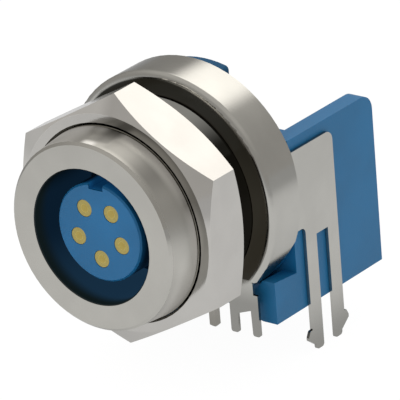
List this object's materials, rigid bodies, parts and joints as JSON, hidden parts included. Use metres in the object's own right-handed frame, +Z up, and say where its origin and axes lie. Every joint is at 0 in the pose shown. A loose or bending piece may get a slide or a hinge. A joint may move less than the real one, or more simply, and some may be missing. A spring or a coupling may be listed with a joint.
{
  "type": "angled round socket connector",
  "caption": "Angled round panel socket with a hexagon nut, a metal shield with snap legs, contacts in a keyed insert and tails bent down to a circuit board.",
  "frame": {"origin": "on the connector's axis, in the plane where the front disc meets the panel", "axes": "-Y out of the mating face, +Z up from the circuit board, X across"},
  "size_m": [0.0116, 0.0144, 0.0141],
  "materials": {
    "nickel_shell": "bright nickel plating on turned brass",
    "nickel_nut": "bright nickel plating on brass",
    "tinned_sheet": "smooth plated sheet",
    "black_rubber": "smooth",
    "blue_insert": "smooth moulded",
    "blue_housing": "fine moulded",
    "dark_plastic": "fine moulded",
    "potting": "cast resin",
    "spring_steel": "bright",
    "tinned_wire": "tinned",
    "gold_contact": "gold plating"
  },
  "bodies": {
    "connector": {"shell_body": "nickel_shell", "flange_ring": "nickel_shell", "shield_cap": "tinned_sheet", "contact_insert": "blue_insert", "insert_base": "blue_insert", "insert_seal": "black_rubber", "retaining_ring": "spring_steel", "rear_housing": "blue_housing", "tail_guide": "dark_plastic", "potting_fill": "potting", "contact_1": "gold_contact", "contact_2": "gold_contact", "contact_3": "gold_contact", "contact_4": "gold_contact", "contact_5": "gold_contact", "tail_1": "tinned_wire", "tail_2": "tinned_wire", "tail_3": "tinned_wire", "tail_4": "tinned_wire", "tail_5": "tinned_wire"},
    "nut": {"hex_nut": "nickel_nut"}
  },
  "joints": [
    {"name": "nut_turn", "type": "hinge", "parent": "connector", "child": "nut", "pos_m": [0, -0.0026, 0], "axis": [0, -1, 0], "continuous": true}
  ]
}
